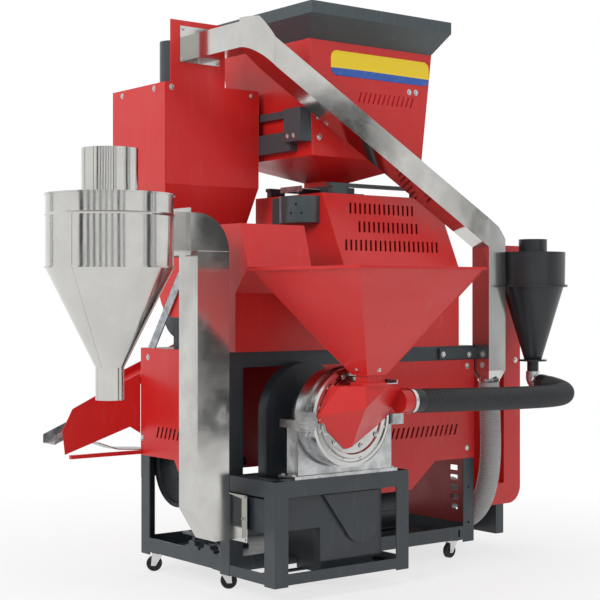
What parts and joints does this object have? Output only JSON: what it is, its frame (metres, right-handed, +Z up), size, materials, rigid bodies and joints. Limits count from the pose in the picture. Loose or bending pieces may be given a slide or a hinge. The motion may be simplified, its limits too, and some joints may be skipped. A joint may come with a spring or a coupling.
{
  "type": "rice mill",
  "caption": "Castored combined rice mill: paddy hopper over a roll huller, bran bin, vibrating screen, cyclones and a front claw grinder with its own hopper.",
  "frame": {"origin": "bottom centre of the machine's bounding box, on the floor under the castors", "axes": "+X to the right along the front with the grinder, +Y to the back, +Z up"},
  "size_m": [2.03, 1.29, 1.83],
  "materials": {
    "frame_paint": "satin dark grey enamel",
    "red_paint": "satin red powder coat",
    "rim_paint": "satin dark grey enamel",
    "housing_paint": "satin dark enamel",
    "stainless": "polished stainless sheet",
    "galvanised": "galvanised sheet",
    "grinder_alloy": "cast, polished front",
    "bright_steel": "bright steel",
    "gate_steel": "plain steel",
    "machine_steel": "machined casting",
    "drive_iron": "dark paint",
    "motor_paint": "dark enamel",
    "black_plastic": "moulded, satin",
    "elbow_metal": "bright cast",
    "black_hose": "corrugated, satin",
    "grey_hose": "corrugated, satin",
    "roll_rubber": "moulded",
    "castor_zinc": "zinc plated",
    "castor_rubber": "moulded"
  },
  "bodies": {
    "frame": {"bearing_blocks": "frame_paint", "belt_guard": "red_paint", "bin_flange": "stainless", "black_cyclone": "black_plastic", "black_elbow": "elbow_metal", "bran_bin": "red_paint", "cyclone_body": "stainless", "cyclone_stack": "stainless", "discharge_hose": "grey_hose", "elevator_duct": "stainless", "fan_casing": "housing_paint", "feed_hopper": "red_paint", "feed_neck": "red_paint", "frame_legs": "frame_paint", "frame_plates": "frame_paint", "frame_rails": "frame_paint", "front_panel": "red_paint", "galvanised_chutes": "galvanised", "grinder_body": "grinder_alloy", "grinder_clamps": "grinder_alloy", "grinder_cover": "red_paint", "grinder_door": "grinder_alloy", "grinder_guard": "housing_paint", "grinder_stand": "frame_paint", "guard_end_cover": "rim_paint", "hopper_rim": "rim_paint", "hopper_support": "rim_paint", "hose_clamps": "bright_steel", "huller_housing": "red_paint", "left_panel": "red_paint", "main_motor": "motor_paint", "mill_body": "machine_steel", "mill_guard": "red_paint", "paddy_hopper": "red_paint", "precleaner": "rim_paint", "rear_panels": "red_paint", "riser_duct": "stainless", "screen_runners": "frame_paint", "side_blower": "housing_paint", "side_housing": "red_paint", "side_stand": "frame_paint", "suction_hose": "black_hose"},
    "hopper_gate": {"hopper_gate": "gate_steel"},
    "feed_gate": {"feed_gate": "bright_steel"},
    "screen": {"screen_box": "red_paint", "screen_tray": "galvanised"},
    "grinder_rotor": {"grinder_rotor": "machine_steel"},
    "grinder_knob": {"grinder_knob": "bright_steel"},
    "fan_impeller": {"fan_impeller": "machine_steel"},
    "drive_wheel": {"drive_wheel": "drive_iron"},
    "roll_fast": {"roll_fast": "roll_rubber"},
    "roll_slow": {"roll_slow": "roll_rubber"},
    "castor_fork_front_left": {"castor_fork_front_left": "castor_zinc"},
    "castor_wheel_front_left": {"castor_wheel_front_left": "castor_rubber"},
    "castor_fork_back_left": {"castor_fork_back_left": "castor_zinc"},
    "castor_wheel_back_left": {"castor_wheel_back_left": "castor_rubber"},
    "castor_fork_front_right": {"castor_fork_front_right": "castor_zinc"},
    "castor_wheel_front_right": {"castor_wheel_front_right": "castor_rubber"},
    "castor_fork_back_right": {"castor_fork_back_right": "castor_zinc"},
    "castor_wheel_back_right": {"castor_wheel_back_right": "castor_rubber"}
  },
  "joints": [
    {"name": "hopper_gate_slide", "type": "slide", "parent": "frame", "child": "hopper_gate", "axis": [-1, 0, 0], "range_m": [0, 0.104]},
    {"name": "feed_gate_slide", "type": "slide", "parent": "frame", "child": "feed_gate", "axis": [1, 0, 0], "range_m": [0, 0.054]},
    {"name": "screen_slide", "type": "slide", "parent": "frame", "child": "screen", "axis": [-0.9239, 0, -0.3827], "range_m": [-0.004, 0.004]},
    {"name": "grinder_rotor_spin", "type": "hinge", "parent": "frame", "child": "grinder_rotor", "pos_m": [-0.088, -0.243, 0.534], "axis": [0, 1, 0], "continuous": true},
    {"name": "grinder_knob_turn", "type": "hinge", "parent": "frame", "child": "grinder_knob", "pos_m": [-0.271, -0.333, 0.522], "axis": [0, 1, 0], "continuous": true},
    {"name": "fan_impeller_spin", "type": "hinge", "parent": "frame", "child": "fan_impeller", "pos_m": [0.017, -0.143, 0.212], "axis": [0, 1, 0], "continuous": true},
    {"name": "drive_wheel_spin", "type": "hinge", "parent": "frame", "child": "drive_wheel", "pos_m": [-0.185, 0.318, 0.343], "axis": [1, 0, 0], "continuous": true},
    {"name": "roll_fast_spin", "type": "hinge", "parent": "frame", "child": "roll_fast", "pos_m": [0.365, 0.23, 1.08], "axis": [1, 0, 0], "continuous": true},
    {"name": "roll_slow_spin", "type": "hinge", "parent": "frame", "child": "roll_slow", "pos_m": [0.365, 0.351, 1.08], "axis": [1, 0, 0], "continuous": true},
    {"name": "swivel_front_left", "type": "hinge", "parent": "frame", "child": "castor_fork_front_left", "pos_m": [-0.309, 0.031, 0.05], "axis": [0, 0, 1], "continuous": true},
    {"name": "roll_front_left", "type": "hinge", "parent": "castor_fork_front_left", "child": "castor_wheel_front_left", "pos_m": [-0.29255, 0.0215, 0.025], "axis": [0.5, 0.866, 0], "continuous": true},
    {"name": "swivel_back_left", "type": "hinge", "parent": "frame", "child": "castor_fork_back_left", "pos_m": [-0.309, 0.387, 0.05], "axis": [0, 0, 1], "continuous": true},
    {"name": "roll_back_left", "type": "hinge", "parent": "castor_fork_back_left", "child": "castor_wheel_back_left", "pos_m": [-0.32355, 0.39921, 0.025], "axis": [-0.6428, -0.766, 0], "continuous": true},
    {"name": "swivel_front_right", "type": "hinge", "parent": "frame", "child": "castor_fork_front_right", "pos_m": [0.616, -0.017, 0.05], "axis": [0, 0, 1], "continuous": true},
    {"name": "roll_front_right", "type": "hinge", "parent": "castor_fork_front_right", "child": "castor_wheel_front_right", "pos_m": [0.59707, -0.01866, 0.025], "axis": [0.0872, -0.9962, 0], "continuous": true},
    {"name": "swivel_back_right", "type": "hinge", "parent": "frame", "child": "castor_fork_back_right", "pos_m": [0.616, 0.435, 0.05], "axis": [0, 0, 1], "continuous": true},
    {"name": "roll_back_right", "type": "hinge", "parent": "castor_fork_back_right", "child": "castor_wheel_back_right", "pos_m": [0.63385, 0.4415, 0.025], "axis": [-0.342, 0.9397, 0], "continuous": true}
  ],
  "couplings": [
    {"joint": "roll_slow_spin", "follows": "roll_fast_spin", "ratio": -0.8}
  ]
}
